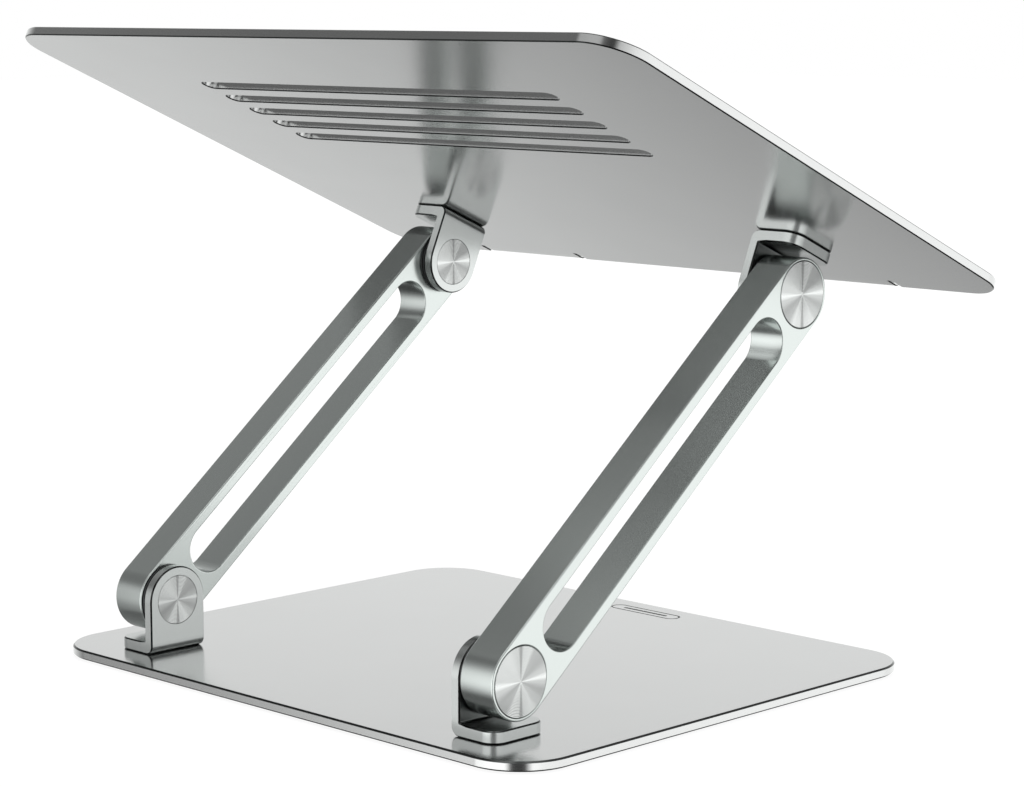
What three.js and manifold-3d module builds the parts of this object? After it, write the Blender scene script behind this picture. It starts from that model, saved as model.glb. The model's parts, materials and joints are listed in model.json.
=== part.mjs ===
// Folding laptop stand: an aluminium base plate and tray, joined by two slotted arms on friction hinges.
//
// Millimetres, +Z up. X runs along the hinge axes, and +Y is the front, where the hooks hold the laptop's
// front edge. Left (-X) and right (+X) are as seen from behind. The stand is shown opened for use, and its
// origin is on the desk, under the middle of its bounding box.
//
// Every hinge is a friction hinge: its shaft is keyed in a bracket's ear and passes through the arm, where
// a pressure washer, a spring washer and a nut clamp it inside the arm, behind a flush cap.

import * as THREE from 'three';
import { mergeVertices } from 'three/addons/utils/BufferGeometryUtils.js';
import Module from 'manifold-3d';

const wasm = await Module();
wasm.setup();

// Overall sizes and attitude
const BASE_WIDTH = 225;
const BASE_DEPTH = 187.8;
const BASE_THICKNESS = 3.2;
const BASE_CORNER_RADIUS = 19;
const TRAY_WIDTH = 280;
const TRAY_DEPTH = 206;
const TRAY_THICKNESS = 3;
const TRAY_CORNER_RADIUS = 15;
const ARM_ANGLE = THREE.MathUtils.degToRad(39.12);
const TRAY_TILT = THREE.MathUtils.degToRad(23.75);

// Where the hinges sit
const PIVOT_HEIGHT = 17.45; // from a plate's face to the hinge axis, on the base and on the tray alike
const BASE_REAR_TO_PIVOT = 22.9;
const TRAY_FRONT_TO_PIVOT = 40.7;
const ARM_LENGTH = 166.7; // between the two hinge axes
const ARM_TO_BASE_SIDE = 22.5; // from an arm's outer face to the base's side, so the arms follow the base

// Arms
const ARM_THICKNESS = 13.6;
const ARM_RADIUS = 12; // half the arm's width, and the radius of its round ends
const ARM_RIM = 3.7; // the wall left beside the arm's long slot
const ARM_SLOT_FROM_PIVOT = 14.8; // from a hinge axis to the slot's nearest point

// Brackets: an ear beside the arm and a foot on the plate
const BRACKET_THICKNESS = 3.7;
const BRACKET_WIDTH = 22.6;
const BRACKET_BEND_RADIUS = 3; // outside of the bend
const BRACKET_INNER_BEND = 0.8; // inside of the bend
const BRACKET_CORNER_RADIUS = 5; // the foot's outer corners
const EAR_TO_ARM = 1; // the gap that the friction washer fills

// Hinge hardware
const SHAFT_RADIUS = 3;
const SHAFT_FLAT = 0.6; // how far the flat is cut into the round shaft
const SHAFT_HEAD_RADIUS = 5.5;
const SHAFT_HEAD_THICKNESS = 0.85;
const INNER_CAP_RADIUS = 8.25;
const INNER_CAP_THICKNESS = 1;
const OUTER_CAP_RADIUS = 10.8;
const OUTER_CAP_THICKNESS = 1.6;
const CAP_CHAMFER = 0.3;
const FRICTION_WASHER_RADIUS = 11.2;
const WASHER_RADIUS = 6.6;
const WASHER_THICKNESS = 0.9;
const SPRING_WASHER_RISE = 0.5; // how far the spring washer's inner edge stands above its outer edge
const NUT_ACROSS_FLATS = 10;
const NUT_THICKNESS = 2.6;
const NUT_POCKET_RADIUS = 7.6;
const SHAFT_PAST_NUT = 0.5;

// Countersunk screws that hold the brackets
const SCREW_RADIUS = 2;
const SCREW_HEAD_RADIUS = 3.7;
const SCREW_SINK = 0.2; // the head lies this far under the plate's face
const SCREW_SPACING = 13;
const SCREW_SOCKET_ACROSS_FLATS = 2.5;
const SCREW_SOCKET_DEPTH = 1.1;
const SCREW_THREAD_COVER = 0.8; // foot material left over the end of the tapped hole

// Vent slots in the tray
const VENT_COUNT = 5;
const VENT_LENGTH = 163.4;
const VENT_WIDTH = 5.6;
const VENT_PITCH = 11.3;
const LAST_VENT_FROM_FRONT = 164.3; // from the tray's front edge to the rear vent's middle

// Hooks, bent up out of the tray's front edge
const HOOK_MIDDLE = 71.6; // distance from the middle plane to a hook's middle
const HOOK_WIDTH = 46.6;
const HOOK_HEIGHT = 12; // above the tray's top face
const HOOK_PROUD = 1.5; // past the tray's front edge
const HOOK_BEND_RADIUS = 2; // inside of the bend
const HOOK_CORNER_RADIUS = 4;
const HOOK_RELIEF_WIDTH = 1.6;
const HOOK_RELIEF_DEPTH = 6;

// Silicone pads
const PAD_PROUD = 0.9;
const PAD_POCKET_DEPTH = 0.8;
const BASE_PAD_LENGTH = 40;
const BASE_PAD_WIDTH = 9;
const BASE_PAD_FROM_SIDE = 8; // from the base's side to a pad's side
const BASE_PAD_FROM_END = 12; // from the base's front or rear edge to a pad's end
const TRAY_PAD_WIDTH = 14;
const TRAY_PAD_FROM_SIDE = 17;
const TRAY_PAD_FROM_REAR = 22;
const TRAY_PAD_FROM_FRONT = 34;
const HOOK_PAD_LENGTH = 38;
const HOOK_PAD_HEIGHT = 8;
const HOOK_PAD_THICKNESS = 1.5;
const PAD_FLAT_END = 0.3; // half the straight stretch left between a pad's two end curves

// Clearances and edges
const GAP = 0.3; // between any two pieces that touch
const PLATE_CHAMFER = 0.6;
const ARM_CHAMFER = 0.5;
const CURVE_STEPS = 6; // three.js makes twice as many straight steps of each arc
const ROUND_STEPS = 24; // straight steps around a turned piece
const SCREW_STEPS = 12; // straight steps around a screw
const OVERCUT = 2; // how far a cutting body reaches past the face that it cuts

// Worked-out places
const ARM_OUTER_FACE = BASE_WIDTH / 2 - ARM_TO_BASE_SIDE; // distances from the middle plane
const ARM_INNER_FACE = ARM_OUTER_FACE - ARM_THICKNESS;
const EAR_OUTER_FACE = ARM_INNER_FACE - EAR_TO_ARM;
const EAR_INNER_FACE = EAR_OUTER_FACE - BRACKET_THICKNESS;
const FOOT_FACE = -PIVOT_HEIGHT + GAP; // the foot's face on the plate, in a hinge's own frame
const SCREW_X = (EAR_OUTER_FACE + ARM_OUTER_FACE) / 2;
const BASE_TOP = PAD_PROUD + BASE_THICKNESS;
const LOWER_PIVOT = new THREE.Vector3(0, -BASE_DEPTH / 2 + BASE_REAR_TO_PIVOT, BASE_TOP + PIVOT_HEIGHT);
const ARM_VECTOR = new THREE.Vector3(0, ARM_LENGTH, 0).applyAxisAngle(new THREE.Vector3(1, 0, 0), ARM_ANGLE);
const UPPER_PIVOT = LOWER_PIVOT.clone().add(ARM_VECTOR);
const TRAY_BOTTOM = PIVOT_HEIGHT; // in the tray's own frame, whose origin is on the upper hinge axis
const TRAY_TOP = TRAY_BOTTOM + TRAY_THICKNESS;
const TRAY_MIDDLE_Y = TRAY_FRONT_TO_PIVOT - TRAY_DEPTH / 2;
const HOOK_OUTER_FACE = TRAY_FRONT_TO_PIVOT + HOOK_PROUD;
const HOOK_TOP = TRAY_TOP + HOOK_HEIGHT;
const TRAY_PAD_LENGTH = TRAY_DEPTH - TRAY_PAD_FROM_REAR - TRAY_PAD_FROM_FRONT;

// Directions that an outline's x, y and thickness take in the stand
const ALONG_X = new THREE.Matrix4().makeBasis(
  new THREE.Vector3(0, 1, 0), new THREE.Vector3(0, 0, 1), new THREE.Vector3(1, 0, 0));
const ALONG_Y = new THREE.Matrix4().makeBasis(
  new THREE.Vector3(-1, 0, 0), new THREE.Vector3(0, 0, 1), new THREE.Vector3(0, 1, 0));

// Materials
const aluminium = { color: 0xc4c8ca, roughness: 0.28, metalness: 1 };
const turnedAluminium = { color: 0xd4d6d8, roughness: 0.22, metalness: 1 };
const steel = { color: 0x8a8d90, roughness: 0.35, metalness: 1 };
const springSteel = { color: 0x6f7275, roughness: 0.4, metalness: 1 };
const frictionPlastic = { color: 0x2c2e30, roughness: 0.6, metalness: 0 };
const silicone = { color: 0x33363a, roughness: 0.8, metalness: 0 };

// ---- Solids ---------------------------------------------------------------------------------------------

function toSolid(geometry) {
  const bare = geometry.clone();
  bare.deleteAttribute('normal');
  bare.deleteAttribute('uv');
  const merged = mergeVertices(bare);
  const index = merged.index.array;
  const triangles = [];
  for (let i = 0; i < index.length; i += 3) {
    const [a, b, c] = index.slice(i, i + 3);
    if (a !== b && b !== c && c !== a) {
      triangles.push(a, b, c);
    }
  }
  const vertProperties = new Float32Array(merged.attributes.position.array);
  const triVerts = new Uint32Array(triangles);
  return new wasm.Manifold(new wasm.Mesh({ numProp: 3, vertProperties, triVerts }));
}

function toGeometry(solid) {
  const mesh = solid.getMesh();
  const geometry = new THREE.BufferGeometry();
  geometry.setAttribute('position', new THREE.BufferAttribute(new Float32Array(mesh.vertProperties), 3));
  geometry.setIndex(new THREE.BufferAttribute(new Uint32Array(mesh.triVerts), 1));
  geometry.computeVertexNormals();
  return geometry;
}

function mirrorX(geometry) {
  const mirrored = geometry.clone();
  mirrored.scale(-1, 1, 1);
  const index = mirrored.index.array;
  for (let i = 0; i < index.length; i += 3) {
    const first = index[i];
    index[i] = index[i + 1];
    index[i + 1] = first;
  }
  mirrored.computeVertexNormals();
  return mirrored;
}

function box(x0, x1, y0, y1, z0, z1) {
  const geometry = new THREE.BoxGeometry(x1 - x0, y1 - y0, z1 - z0);
  geometry.translate((x0 + x1) / 2, (y0 + y1) / 2, (z0 + z1) / 2);
  return toSolid(geometry);
}

// A sheet or bar of the outline's shape from z = 0 to its thickness, with both rims chamfered
function sheet(outline, thickness, chamfer = 0) {
  return new THREE.ExtrudeGeometry(outline, {
    depth: thickness - 2 * chamfer,
    bevelEnabled: chamfer > 0,
    bevelThickness: chamfer,
    bevelSize: chamfer,
    bevelOffset: -chamfer,
    bevelSegments: 1,
    curveSegments: CURVE_STEPS,
  }).translate(0, 0, chamfer);
}

// A body of revolution around X: its profile is a list of [radius, x], anticlockwise
function turned(profile, steps = ROUND_STEPS) {
  const points = profile.map(([radius, x]) => new THREE.Vector2(radius, x));
  return new THREE.LatheGeometry(points, steps).rotateZ(-Math.PI / 2);
}

function cylinder(radius, x0, x1, steps = ROUND_STEPS) {
  return turned([[0, x0], [radius, x0], [radius, x1], [0, x1]], steps);
}

function ring(innerRadius, outerRadius, x0, x1) {
  return turned([[innerRadius, x0], [outerRadius, x0], [outerRadius, x1], [innerRadius, x1], [innerRadius, x0]]);
}

function hexRadius(acrossFlats) {
  return acrossFlats / 2 / Math.cos(Math.PI / 6);
}

// ---- Outlines -------------------------------------------------------------------------------------------

function roundedRectangle(width, height, radius) {
  const x = width / 2 - radius;
  const y = height / 2 - radius;
  const outline = new THREE.Shape();
  outline.moveTo(-x, -y - radius);
  outline.lineTo(x, -y - radius);
  outline.absarc(x, -y, radius, -Math.PI / 2, 0);
  outline.lineTo(x + radius, y);
  outline.absarc(x, y, radius, 0, Math.PI / 2);
  outline.lineTo(-x, y + radius);
  outline.absarc(-x, y, radius, Math.PI / 2, Math.PI);
  outline.lineTo(-x - radius, -y);
  outline.absarc(-x, -y, radius, Math.PI, 1.5 * Math.PI);
  return outline;
}

// A bar with round ends, centred on x0 and x1
function roundEnded(x0, x1, radius) {
  const outline = new THREE.Shape();
  outline.moveTo(x0, -radius);
  outline.lineTo(x1, -radius);
  outline.absarc(x1, 0, radius, -Math.PI / 2, Math.PI / 2);
  outline.lineTo(x0, radius);
  outline.absarc(x0, 0, radius, Math.PI / 2, 1.5 * Math.PI);
  return outline;
}

// The shaft's section: a circle with one flat
function keyedSection(clearance) {
  const radius = SHAFT_RADIUS + clearance;
  const start = Math.acos((SHAFT_RADIUS - SHAFT_FLAT + clearance) / radius);
  const outline = new THREE.Shape();
  outline.absarc(0, 0, radius, Math.PI / 2 + start, 2.5 * Math.PI - start);
  return outline;
}

function keyedBody(clearance, x0, x1) {
  return sheet(keyedSection(clearance), x1 - x0).applyMatrix4(ALONG_X).translate(x0, 0, 0);
}

// ---- Base and tray --------------------------------------------------------------------------------------

function eachSide(makeForSide) {
  makeForSide('left', -1);
  makeForSide('right', 1);
}

// A countersunk screw's outline around Z, from the plate's outer face at 0 upward to its tip
function screwProfile(length, clearance, headStart) {
  const cone = SCREW_HEAD_RADIUS - SCREW_RADIUS;
  return [
    [0, headStart],
    [SCREW_HEAD_RADIUS + clearance, headStart],
    [SCREW_HEAD_RADIUS + clearance, SCREW_SINK],
    [SCREW_RADIUS + clearance, SCREW_SINK + cone],
    [SCREW_RADIUS + clearance, length + clearance],
    [0, length + clearance],
  ];
}

function screwAxisTurned(profile) {
  return turned(profile, SCREW_STEPS).rotateY(-Math.PI / 2);
}

function screwGeometry(plateThickness) {
  const body = toSolid(screwAxisTurned(screwProfile(screwLength(plateThickness), 0, SCREW_SINK)));
  const socket = toSolid(
    turned([[0, -OVERCUT], [hexRadius(SCREW_SOCKET_ACROSS_FLATS), -OVERCUT],
      [hexRadius(SCREW_SOCKET_ACROSS_FLATS), SCREW_SINK + SCREW_SOCKET_DEPTH],
      [0, SCREW_SINK + SCREW_SOCKET_DEPTH]], 6).rotateY(-Math.PI / 2));
  return toGeometry(body.subtract(socket));
}

// From the plate's outer face to the screw's tip, which ends one gap short of its hole's end in the foot
function screwLength(plateThickness) {
  return plateThickness + BRACKET_THICKNESS - SCREW_THREAD_COVER;
}

// The hole for a screw, starting at the plate's outer face and going up through plate and foot
function screwHole(plateThickness) {
  return screwAxisTurned(screwProfile(screwLength(plateThickness), GAP, -OVERCUT));
}

// Places of the two screws of a bracket, in its hinge's frame
const SCREW_PLACES = [['front', SCREW_SPACING / 2], ['rear', -SCREW_SPACING / 2]];

// A round-ended silicone pad that runs along Y, and the pocket that it is stuck in
function padOutline(length, width, clearance) {
  return roundedRectangle(width + 2 * clearance, length + 2 * clearance, width / 2 + clearance - PAD_FLAT_END);
}

function padPocket(length, width) {
  return sheet(padOutline(length, width, GAP), PAD_POCKET_DEPTH + OVERCUT);
}

function padGeometry(length, width) {
  return sheet(padOutline(length, width, 0), PAD_PROUD + PAD_POCKET_DEPTH - GAP);
}

function basePadPlaces() {
  const x = BASE_WIDTH / 2 - BASE_PAD_FROM_SIDE - BASE_PAD_WIDTH / 2;
  const y = BASE_DEPTH / 2 - BASE_PAD_FROM_END - BASE_PAD_LENGTH / 2;
  return [['front_left', -x, y], ['front_right', x, y], ['rear_left', -x, -y], ['rear_right', x, -y]];
}

function basePlate() {
  const outline = roundedRectangle(BASE_WIDTH, BASE_DEPTH, BASE_CORNER_RADIUS);
  let plate = toSolid(sheet(outline, BASE_THICKNESS, PLATE_CHAMFER).translate(0, 0, PAD_PROUD));
  for (const [, x, y] of basePadPlaces()) {
    const pocket = padPocket(BASE_PAD_LENGTH, BASE_PAD_WIDTH);
    plate = plate.subtract(toSolid(pocket.translate(x, y, PAD_PROUD - OVERCUT)));
  }
  eachSide((side, sign) => {
    for (const [, y] of SCREW_PLACES) {
      const hole = screwHole(BASE_THICKNESS).translate(sign * SCREW_X, LOWER_PIVOT.y + y, PAD_PROUD);
      plate = plate.subtract(toSolid(hole));
    }
  });
  return toGeometry(plate);
}

// The bent strip of one hook, from inside the tray sheet to the hook's top
function hookStrip() {
  const outerRadius = HOOK_BEND_RADIUS + TRAY_THICKNESS;
  const bendY = HOOK_OUTER_FACE - outerRadius;
  const bendZ = TRAY_BOTTOM + outerRadius;
  const rootY = TRAY_FRONT_TO_PIVOT - HOOK_RELIEF_DEPTH - PLATE_CHAMFER;
  const profile = new THREE.Shape();
  profile.moveTo(rootY, TRAY_BOTTOM);
  profile.lineTo(bendY, TRAY_BOTTOM);
  profile.absarc(bendY, bendZ, outerRadius, -Math.PI / 2, 0);
  profile.lineTo(HOOK_OUTER_FACE, HOOK_TOP);
  profile.lineTo(HOOK_OUTER_FACE - TRAY_THICKNESS, HOOK_TOP);
  profile.lineTo(HOOK_OUTER_FACE - TRAY_THICKNESS, bendZ);
  profile.absarc(bendY, bendZ, HOOK_BEND_RADIUS, 0, -Math.PI / 2, true);
  profile.lineTo(rootY, TRAY_TOP);
  const strip = toSolid(sheet(profile, HOOK_WIDTH).applyMatrix4(ALONG_X).translate(-HOOK_WIDTH / 2, 0, 0));
  const faceHeight = HOOK_TOP - TRAY_BOTTOM + 2 * HOOK_CORNER_RADIUS;
  const face = roundedRectangle(HOOK_WIDTH, faceHeight, HOOK_CORNER_RADIUS);
  const limit = sheet(face, TRAY_DEPTH).applyMatrix4(ALONG_Y);
  limit.translate(0, HOOK_OUTER_FACE - TRAY_DEPTH + OVERCUT, HOOK_TOP - faceHeight / 2);
  return strip.intersect(toSolid(limit));
}

function trayPadMiddle(sign) {
  const x = sign * (TRAY_WIDTH / 2 - TRAY_PAD_FROM_SIDE - TRAY_PAD_WIDTH / 2);
  const y = TRAY_FRONT_TO_PIVOT - TRAY_DEPTH + TRAY_PAD_FROM_REAR + TRAY_PAD_LENGTH / 2;
  return [x, y];
}

function trayPlate() {
  const outline = roundedRectangle(TRAY_WIDTH, TRAY_DEPTH, TRAY_CORNER_RADIUS);
  let tray = toSolid(sheet(outline, TRAY_THICKNESS, PLATE_CHAMFER).translate(0, TRAY_MIDDLE_Y, TRAY_BOTTOM));
  for (let i = 0; i < VENT_COUNT; i += 1) {
    const y = TRAY_FRONT_TO_PIVOT - LAST_VENT_FROM_FRONT + i * VENT_PITCH;
    const end = (VENT_LENGTH - VENT_WIDTH) / 2;
    const vent = sheet(roundEnded(-end, end, VENT_WIDTH / 2), TRAY_THICKNESS + 2 * OVERCUT);
    tray = tray.subtract(toSolid(vent.translate(0, y, TRAY_BOTTOM - OVERCUT)));
  }
  eachSide((side, sign) => {
    const middle = sign * HOOK_MIDDLE;
    const halfWidth = HOOK_WIDTH / 2 + HOOK_RELIEF_WIDTH;
    const front = TRAY_FRONT_TO_PIVOT;
    tray = tray.subtract(box(middle - halfWidth, middle + halfWidth, front - HOOK_RELIEF_DEPTH,
      front + OVERCUT, TRAY_BOTTOM - OVERCUT, TRAY_TOP + OVERCUT));
    tray = tray.add(hookStrip().translate([middle, 0, 0]));
    const [padX, padY] = trayPadMiddle(sign);
    const pocket = padPocket(TRAY_PAD_LENGTH, TRAY_PAD_WIDTH);
    tray = tray.subtract(toSolid(pocket.translate(padX, padY, TRAY_TOP - PAD_POCKET_DEPTH)));
    for (const [, y] of SCREW_PLACES) {
      const hole = screwHole(TRAY_THICKNESS).rotateX(Math.PI).translate(sign * SCREW_X, y, TRAY_TOP);
      tray = tray.subtract(toSolid(hole));
    }
  });
  return toGeometry(tray);
}

// ---- Hinge pieces, in the frame of their hinge axis, for the right-hand side ------------------------------

// The inner cap lies flush in the ear's pocket and the shaft's head lies under it
const CAP_POCKET_FLOOR = EAR_INNER_FACE + INNER_CAP_THICKNESS + GAP + SHAFT_HEAD_THICKNESS + GAP;
// Behind the outer cap, from the outside in: the nut, the spring washer and the pressure washer
const OUTER_CAP_BACK = ARM_OUTER_FACE - OUTER_CAP_THICKNESS;
const SHAFT_END = OUTER_CAP_BACK - 2 * GAP;
const NUT_OUTSIDE = SHAFT_END - SHAFT_PAST_NUT;
const NUT_INSIDE = NUT_OUTSIDE - NUT_THICKNESS;
const SPRING_INSIDE = NUT_INSIDE - GAP - WASHER_THICKNESS - SPRING_WASHER_RISE;
const PRESSURE_INSIDE = SPRING_INSIDE - GAP - WASHER_THICKNESS;
const NUT_POCKET_FLOOR = PRESSURE_INSIDE - GAP;

function bracketGeometry() {
  const half = BRACKET_WIDTH / 2;
  const foot = FOOT_FACE + BRACKET_THICKNESS;
  const profile = new THREE.Shape();
  profile.moveTo(EAR_INNER_FACE + BRACKET_BEND_RADIUS, FOOT_FACE);
  profile.lineTo(ARM_OUTER_FACE, FOOT_FACE);
  profile.lineTo(ARM_OUTER_FACE, foot);
  profile.lineTo(EAR_OUTER_FACE + BRACKET_INNER_BEND, foot);
  profile.absarc(EAR_OUTER_FACE + BRACKET_INNER_BEND, foot + BRACKET_INNER_BEND, BRACKET_INNER_BEND,
    1.5 * Math.PI, Math.PI, true);
  profile.lineTo(EAR_OUTER_FACE, half);
  profile.lineTo(EAR_INNER_FACE, half);
  profile.lineTo(EAR_INNER_FACE, FOOT_FACE + BRACKET_BEND_RADIUS);
  profile.absarc(EAR_INNER_FACE + BRACKET_BEND_RADIUS, FOOT_FACE + BRACKET_BEND_RADIUS,
    BRACKET_BEND_RADIUS, Math.PI, 1.5 * Math.PI);
  const standing = new THREE.Matrix4().makeBasis(
    new THREE.Vector3(1, 0, 0), new THREE.Vector3(0, 0, 1), new THREE.Vector3(0, -1, 0));
  const bent = sheet(profile, BRACKET_WIDTH).applyMatrix4(standing).translate(0, half, 0);

  const ear = new THREE.Shape();
  ear.moveTo(-half, FOOT_FACE - OVERCUT);
  ear.lineTo(half, FOOT_FACE - OVERCUT);
  ear.lineTo(half, 0);
  ear.absarc(0, 0, half, 0, Math.PI);
  const earLimit = sheet(ear, ARM_OUTER_FACE).applyMatrix4(ALONG_X).translate(OVERCUT, 0, 0);

  const plan = roundedRectangle(2 * ARM_OUTER_FACE, BRACKET_WIDTH, BRACKET_CORNER_RADIUS);
  const planLimit = sheet(plan, PIVOT_HEIGHT + half + OVERCUT).translate(0, 0, FOOT_FACE - OVERCUT);

  let bracket = toSolid(bent).intersect(toSolid(earLimit)).intersect(toSolid(planLimit));
  const pocket = cylinder(INNER_CAP_RADIUS + GAP, EAR_INNER_FACE - OVERCUT, CAP_POCKET_FLOOR);
  bracket = bracket.subtract(toSolid(pocket));
  bracket = bracket.subtract(toSolid(keyedBody(GAP, EAR_INNER_FACE, EAR_OUTER_FACE + OVERCUT)));
  for (const [, y] of SCREW_PLACES) {
    const bottom = FOOT_FACE - OVERCUT;
    const top = foot - SCREW_THREAD_COVER;
    const hole = new THREE.CylinderGeometry(SCREW_RADIUS + GAP, SCREW_RADIUS + GAP, top - bottom,
      SCREW_STEPS);
    hole.rotateX(Math.PI / 2).translate(SCREW_X, y, (top + bottom) / 2);
    bracket = bracket.subtract(toSolid(hole));
  }
  return toGeometry(bracket);
}

function shaftGeometry() {
  const headInside = EAR_INNER_FACE + INNER_CAP_THICKNESS + GAP;
  const head = cylinder(SHAFT_HEAD_RADIUS, headInside, headInside + SHAFT_HEAD_THICKNESS);
  return toGeometry(toSolid(head).add(toSolid(keyedBody(0, headInside + CAP_CHAMFER, SHAFT_END))));
}

function pressureWasherGeometry() {
  const disc = cylinder(WASHER_RADIUS, PRESSURE_INSIDE, PRESSURE_INSIDE + WASHER_THICKNESS);
  return toGeometry(toSolid(disc).subtract(toSolid(keyedBody(GAP, PRESSURE_INSIDE - OVERCUT, NUT_OUTSIDE))));
}

function springWasherGeometry() {
  const inner = SHAFT_RADIUS + GAP;
  const outer = WASHER_RADIUS;
  return toGeometry(toSolid(turned([
    [inner, SPRING_INSIDE + SPRING_WASHER_RISE],
    [outer, SPRING_INSIDE],
    [outer, SPRING_INSIDE + WASHER_THICKNESS],
    [inner, SPRING_INSIDE + SPRING_WASHER_RISE + WASHER_THICKNESS],
    [inner, SPRING_INSIDE + SPRING_WASHER_RISE],
  ])));
}

function nutGeometry() {
  const hexagon = toSolid(cylinder(hexRadius(NUT_ACROSS_FLATS), NUT_INSIDE, NUT_OUTSIDE, 6));
  return toGeometry(hexagon.subtract(toSolid(cylinder(SHAFT_RADIUS + GAP, NUT_INSIDE - OVERCUT, SHAFT_END))));
}

function frictionWasherGeometry() {
  return toGeometry(toSolid(
    ring(SHAFT_RADIUS + GAP, FRICTION_WASHER_RADIUS, EAR_OUTER_FACE + GAP, ARM_INNER_FACE - GAP)));
}

function outerCapGeometry() {
  const rim = OUTER_CAP_RADIUS - CAP_CHAMFER;
  return toGeometry(toSolid(turned([
    [0, OUTER_CAP_BACK],
    [OUTER_CAP_RADIUS, OUTER_CAP_BACK],
    [OUTER_CAP_RADIUS, ARM_OUTER_FACE - CAP_CHAMFER],
    [rim, ARM_OUTER_FACE],
    [0, ARM_OUTER_FACE],
  ])));
}

function innerCapGeometry() {
  const rim = INNER_CAP_RADIUS - CAP_CHAMFER;
  return toGeometry(toSolid(turned([
    [0, EAR_INNER_FACE],
    [rim, EAR_INNER_FACE],
    [INNER_CAP_RADIUS, EAR_INNER_FACE + CAP_CHAMFER],
    [INNER_CAP_RADIUS, EAR_INNER_FACE + INNER_CAP_THICKNESS],
    [0, EAR_INNER_FACE + INNER_CAP_THICKNESS],
  ])));
}

// ---- Arm, in the frame of its lower hinge axis, lying along +Y, for the right-hand side ------------------

function armGeometry() {
  const outline = roundEnded(0, ARM_LENGTH, ARM_RADIUS);
  const bar = sheet(outline, ARM_THICKNESS, ARM_CHAMFER).applyMatrix4(ALONG_X).translate(ARM_INNER_FACE, 0, 0);
  const slotRadius = ARM_RADIUS - ARM_RIM;
  const slotEnd = ARM_SLOT_FROM_PIVOT + slotRadius;
  const slot = sheet(roundEnded(slotEnd, ARM_LENGTH - slotEnd, slotRadius), ARM_THICKNESS + 2 * OVERCUT);
  slot.applyMatrix4(ALONG_X).translate(ARM_INNER_FACE - OVERCUT, 0, 0);
  let arm = toSolid(bar).subtract(toSolid(slot));
  for (const y of [0, ARM_LENGTH]) {
    const bore = cylinder(SHAFT_RADIUS + GAP, ARM_INNER_FACE - OVERCUT, ARM_OUTER_FACE);
    const nutPocket = cylinder(NUT_POCKET_RADIUS, NUT_POCKET_FLOOR, ARM_OUTER_FACE);
    const capSeat = cylinder(OUTER_CAP_RADIUS + GAP, OUTER_CAP_BACK - GAP, ARM_OUTER_FACE + OVERCUT);
    for (const cutter of [bore, nutPocket, capSeat]) {
      arm = arm.subtract(toSolid(cutter.translate(0, y, 0)));
    }
  }
  return toGeometry(arm);
}

// ---- Assembly -------------------------------------------------------------------------------------------

function addPiece(parent, name, geometry, finish) {
  const mesh = new THREE.Mesh(geometry, new THREE.MeshStandardMaterial(finish));
  mesh.name = name;
  parent.add(mesh);
  return mesh;
}

function bySide(sign, geometry) {
  return sign > 0 ? geometry : mirrorX(geometry);
}

// A bracket with its screws, shaft, washers, nut and inner cap, with its foot towards -Z
function hinge(level, plateThickness) {
  const group = new THREE.Group();
  eachSide((side, sign) => {
    addPiece(group, `${level}_bracket_${side}`, bySide(sign, bracketGeometry()), aluminium);
    addPiece(group, `${level}_shaft_${side}`, bySide(sign, shaftGeometry()), steel);
    addPiece(group, `${level}_pressure_washer_${side}`, bySide(sign, pressureWasherGeometry()), steel);
    addPiece(group, `${level}_spring_washer_${side}`, bySide(sign, springWasherGeometry()), springSteel);
    addPiece(group, `${level}_nut_${side}`, bySide(sign, nutGeometry()), steel);
    addPiece(group, `${level}_friction_washer_${side}`, bySide(sign, frictionWasherGeometry()), frictionPlastic);
    addPiece(group, `${level}_inner_cap_${side}`, bySide(sign, innerCapGeometry()), turnedAluminium);
    for (const [place, y] of SCREW_PLACES) {
      const screw = addPiece(group, `${level}_screw_${place}_${side}`, screwGeometry(plateThickness), steel);
      screw.position.set(sign * SCREW_X, y, -PIVOT_HEIGHT - plateThickness);
    }
  });
  return group;
}

const stand = new THREE.Group();
const parts = new THREE.Group();
stand.add(parts);

addPiece(parts, 'base_plate', basePlate(), aluminium);
for (const [place, x, y] of basePadPlaces()) {
  const pad = addPiece(parts, `base_pad_${place}`, padGeometry(BASE_PAD_LENGTH, BASE_PAD_WIDTH), silicone);
  pad.position.set(x, y, 0);
}

const lowerHinge = hinge('lower', BASE_THICKNESS);
lowerHinge.position.copy(LOWER_PIVOT);
parts.add(lowerHinge);

const arms = new THREE.Group();
arms.position.copy(LOWER_PIVOT);
arms.rotation.x = ARM_ANGLE;
parts.add(arms);
eachSide((side, sign) => {
  addPiece(arms, `arm_${side}`, bySide(sign, armGeometry()), aluminium);
  for (const [level, y] of [['lower', 0], ['upper', ARM_LENGTH]]) {
    const cap = addPiece(arms, `${level}_outer_cap_${side}`, bySide(sign, outerCapGeometry()), turnedAluminium);
    cap.position.y = y;
  }
});

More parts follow.
